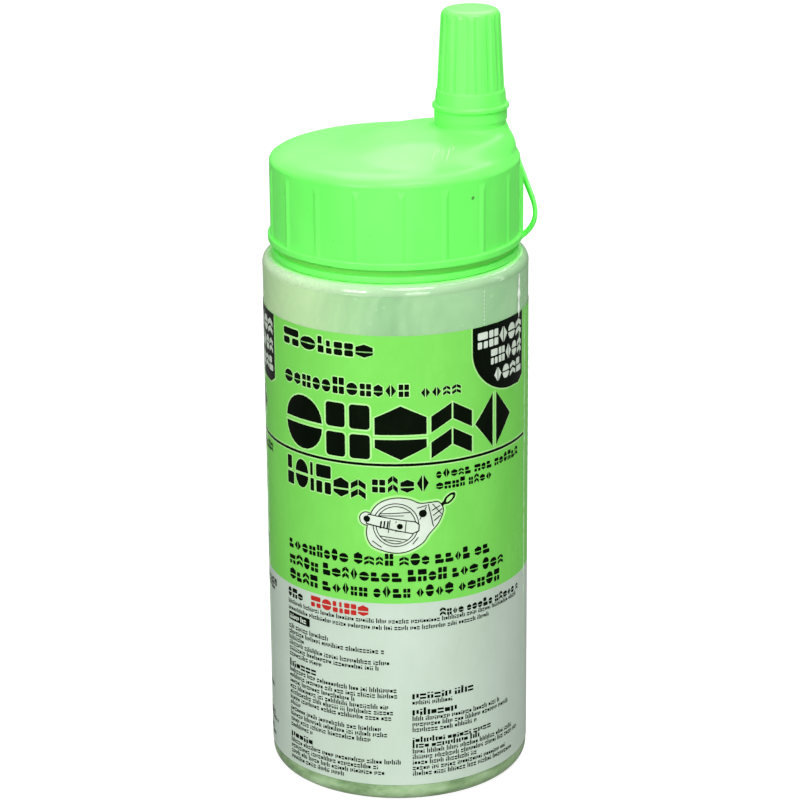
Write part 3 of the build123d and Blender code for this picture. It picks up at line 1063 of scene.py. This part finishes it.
def closure_specks():
    """Specks of dark dust caught in the moulding."""
    bm = bmesh.new()
    marks = random.Random(3)
    for _ in range(16):
        angle = marks.uniform(0, 2 * math.pi)
        reach = marks.uniform(6, 28)
        above = Vector((reach * math.cos(angle) - 3, reach * math.sin(angle), ABOVE))
        if (above.xy - Vector((NOZZLE_X, 0))).length < 11:
            continue
        speck(bm, above, DOWN, marks.uniform(0.06, 0.14))
    for _ in range(12):
        angle = marks.uniform(0, 2 * math.pi)
        height = marks.uniform(147, 159)
        speck(bm, *from_outside(angle, height), marks.uniform(0.05, 0.12))
    speck(bm, *from_outside(math.radians(-53), 158.8), 0.4, 1.2)
    piece_from("closure_specks", bm, SPECK, "closure")


def scuff(bm, first, last, width):
    """A hair-thin raised scratch between two places on the sloping top."""
    rows = []
    steps = 8
    heading = (Vector(last) - Vector(first)).normalized()
    side = Vector((-heading.y, heading.x, 0))
    for step in range(steps + 1):
        t = step / steps
        here = Vector(first).lerp(Vector(last), t)
        thin = width * math.sin(math.pi * (0.06 + 0.88 * t))
        left, normal = closure_top(here.x + side.x * thin, here.y + side.y * thin)
        right, _ = closure_top(here.x - side.x * thin, here.y - side.y * thin)
        lift = normal * RAISED * MM
        spots = (left - lift, left + lift, right + lift, right - lift)
        rows.append([bm.verts.new(spot) for spot in spots])
    bridge(bm, rows)
    cap_ends(bm, rows)


def closure_scuffs():
    """A few fine scratches in front of the nozzle."""
    bm = bmesh.new()
    marks = random.Random(11)
    for step in range(7):
        x = 10.4 + step * 0.75 + marks.uniform(-0.2, 0.2)
        y = -14.5 - marks.uniform(0, 2.5)
        long = marks.uniform(2.5, 6.0)
        scuff(bm, (x, y, 0), (x - 0.22 * long, y - long, 0), marks.uniform(0.05, 0.11))
    piece_from("closure_scuffs", bm, SCUFF, "closure")


def film_edge():
    """The sleeve's shrunk top edge, curled a little way over the shoulder."""
    bm = bmesh.new()
    loops = []
    shoulder_r, corner, corner_z = FILM_R - 0.14, 2.2, 136.6
    turns = (-1, 0, 10, 20, 30, 40, 50, 60, 70)
    for side in (1, -1):
        for degrees in turns[::side]:
            share = max(0.0, degrees / turns[-1])
            thick = 0.03 + 0.118 * (1 - share)
            if side < 0:
                thick = 0.142 if degrees < 0 else 0.02
            loop = []
            for step in range(EDGE_STEPS):
                angle = 2 * math.pi * step / EDGE_STEPS
                wave = noise.noise(Vector((math.cos(angle) * 5, math.sin(angle) * 5, 2.0)))
                fine = noise.noise(Vector((math.cos(angle) * 22, math.sin(angle) * 22, 5.0)))
                tilt = math.radians(max(0, degrees) + share ** 3 * (10 * wave + 4 * fine))
                lift = corner + thick
                radius = shoulder_r - corner + lift * math.cos(tilt)
                z = corner_z + lift * math.sin(tilt) + 0.28 * min(0, degrees)
                loop.append(bm.verts.new(around_axis(angle, radius, z)))
            loops.append(loop)
    bridge(bm, loops + loops[:1])
    piece_from("film_edge", bm, FILM_LIP, "bottle")


def film_crease(name, s, low, high, width, height, seed, material=FILM_GLINT):
    """A thin upright wrinkle in the film, in pale ink that paints the bright line of light along
    it.
    """
    bm = bmesh.new()
    rows = []
    steps = max(6, round((high - low) / 0.7))
    for step in range(steps + 1):
        z = low + (high - low) * step / steps
        drift = 0.35 * noise.noise(Vector((seed, 0, z * 0.09)))
        swell = max(0.15, 0.75 + 0.8 * noise.noise(Vector((seed, 3, z * 0.5))))
        end = min(1.0, 5 * min(step, steps - step) / steps)
        half = width * (0.3 + 0.7 * end) * swell / 2
        top = height * end * swell
        flank, rise = half * 0.4, top * 0.8
        spots = ((-half, -0.02), (-flank, rise), (0.0, top), (flank, rise), (half, -0.02))
        places = (on_sleeve(s + drift + side, z, ground[1] + up) for side, up in spots)
        rows.append([bm.verts.new(place) for place in places])
    bridge(bm, rows)
    cap_ends(bm, rows)
    piece_from(name, bm, material, "bottle")


def film_specks():
    """Pale specks that stand for glints on the film: under its clear top all round, and in an
    upright band near the side creases.
    """
    glints = Print("film_specks", FILM_GLINT, "sleeve_film", 2)
    marks = random.Random(5)
    # painted glints: pale specks under the film's clear top all round
    for _ in range(70):
        s = marks.uniform(-106, 106)
        z = marks.uniform(127.5, 135.5)
        size = marks.uniform(0.05, 0.13)
        glints.shape(circle(s, z, size, 7))
    for _ in range(60):
        # painted glints: an upright band of pale specks near the side creases
        s = marks.uniform(36, 46)
        glints.shape(circle(s, marks.uniform(60, 134), marks.uniform(0.04, 0.1), 6))
    glints.done()


bpy.context.view_layer.update()
closure_specks()
closure_scuffs()
film_edge()
# painted highlights: the creases are pale so that they show as bright streaks of light
film_crease("film_crease_side", 38.8, 124.5, 136.4, 1.4, 0.3, 1.0, FILM_FOLD_GLINT)
film_crease("film_crease_side_low", 39.0, 113.5, 125.0, 0.45, 0.12, 3.0)
film_crease("film_crease_edge", 43.6, 20.0, 135.8, 0.4, 0.12, 2.0)
film_crease("film_crease_seam", -47.5, 6.0, 135.8, 0.5, 0.1, 4.0)
film_crease("film_crease_back", 96.0, 6.0, 135.8, 0.6, 0.1, 6.0)
film_specks()


# ================================ stage, light and camera ====================================
def stage_floor():
    """A plain pale floor."""
    bm = bmesh.new()
    bmesh.ops.create_grid(bm, x_segments=8, y_segments=8, size=3.0)
    mesh = bpy.data.meshes.new("stage_floor")
    bm.to_mesh(mesh)
    bm.free()
    floor = bpy.data.objects.new("stage_floor", mesh)
    bpy.context.scene.collection.objects.link(floor)
    look = Shader(
        "pale_floor",
        roughness=0.9,
        specular_ior_level=0.0,
        emission_color=(1, 1, 1, 1),
        emission_strength=0.86,
    )
    shades = [(0.3, (0.25, 0.25, 0.25, 1)), (0.7, (0.27, 0.27, 0.27, 1))]
    look.colour(look.ramp(look.noise(3, 2, 0.5), shades))
    mesh.materials.append(look.material)
    floor.visible_diffuse = False
    floor.visible_glossy = False


def softbox(name, place, aim, size, power, height=None):
    """A soft area light aimed at a point."""
    data = bpy.data.lights.new(name, "AREA")
    data.energy = power
    data.size = size
    if height:
        data.shape = "RECTANGLE"
        data.size_y = height
    lamp = bpy.data.objects.new(name, data)
    lamp.location = place
    lamp.rotation_euler = (Vector(aim) - Vector(place)).to_track_quat("-Z", "Y").to_euler()
    bpy.context.scene.collection.objects.link(lamp)


def studio_world():
    """Soft surroundings: paler in front, darker at both sides, above and behind."""
    world = bpy.data.worlds.new("studio")
    world.use_nodes = True
    tree = world.node_tree
    sky = tree.nodes["Background"]
    place = tree.nodes.new("ShaderNodeTexCoord")
    split = tree.nodes.new("ShaderNodeSeparateXYZ")
    span = tree.nodes.new("ShaderNodeMapRange")
    span.inputs["From Min"].default_value = -0.25
    span.inputs["From Max"].default_value = -0.95
    span.inputs["To Min"].default_value = WORLD_SIDE
    span.inputs["To Max"].default_value = WORLD_FRONT
    tree.links.new(place.outputs["Generated"], split.inputs[0])
    tree.links.new(split.outputs["Y"], span.inputs["Value"])
    tree.links.new(span.outputs["Result"], sky.inputs["Strength"])
    sky.inputs["Color"].default_value = (1, 1, 1, 1)
    bpy.context.scene.world = world


def lights():
    """Two boxes above, a key and a fill from the front, and a thin rim light at the right."""
    softbox("top_box", (0.13, 0.48, 0.93), (0, 0, 0.1), 0.8, 8.8)
    softbox("top_front", (0.15, -0.34, 1.0), (0, 0, 0.1), 0.46, 5.4)
    softbox("key_left", (-0.72, -1.02, 0.68), (0, 0, 0.08), 0.45, 10.6)
    softbox("front_fill", (0.42, -1.3, 0.42), (0, 0, 0.06), 0.5, 6.6)
    softbox("rim_right", (0.7, 0.12, 0.25), (0, 0, 0.12), 0.06, 0.4, 0.5)


def camera():
    """A long lens in front of the object and a little above it."""
    pitch = math.radians(18.744)
    yaw = math.radians(-0.067)
    roll = math.radians(-0.490)
    right = Vector((math.cos(yaw), math.sin(yaw), 0))
    ahead = Vector(
        (-math.sin(yaw) * math.cos(pitch), math.cos(yaw) * math.cos(pitch), -math.sin(pitch))
    )
    up = right.cross(ahead)
    turned_right = right * math.cos(roll) + up * math.sin(roll)
    turned_up = up * math.cos(roll) - right * math.sin(roll)
    data = bpy.data.cameras.new("camera")
    data.sensor_width = 36.0
    data.lens = 132.75
    data.clip_start = 0.01
    view = bpy.data.objects.new("camera", data)
    axes = Matrix((turned_right, turned_up, -ahead)).transposed()
    view.matrix_world = Matrix.Translation((0, -0.72287, 0.34364)) @ axes.to_4x4()
    bpy.context.scene.collection.objects.link(view)
    bpy.context.scene.camera = view


stage_floor()
studio_world()
lights()
camera()
bpy.context.scene.view_settings.view_transform = "Standard"
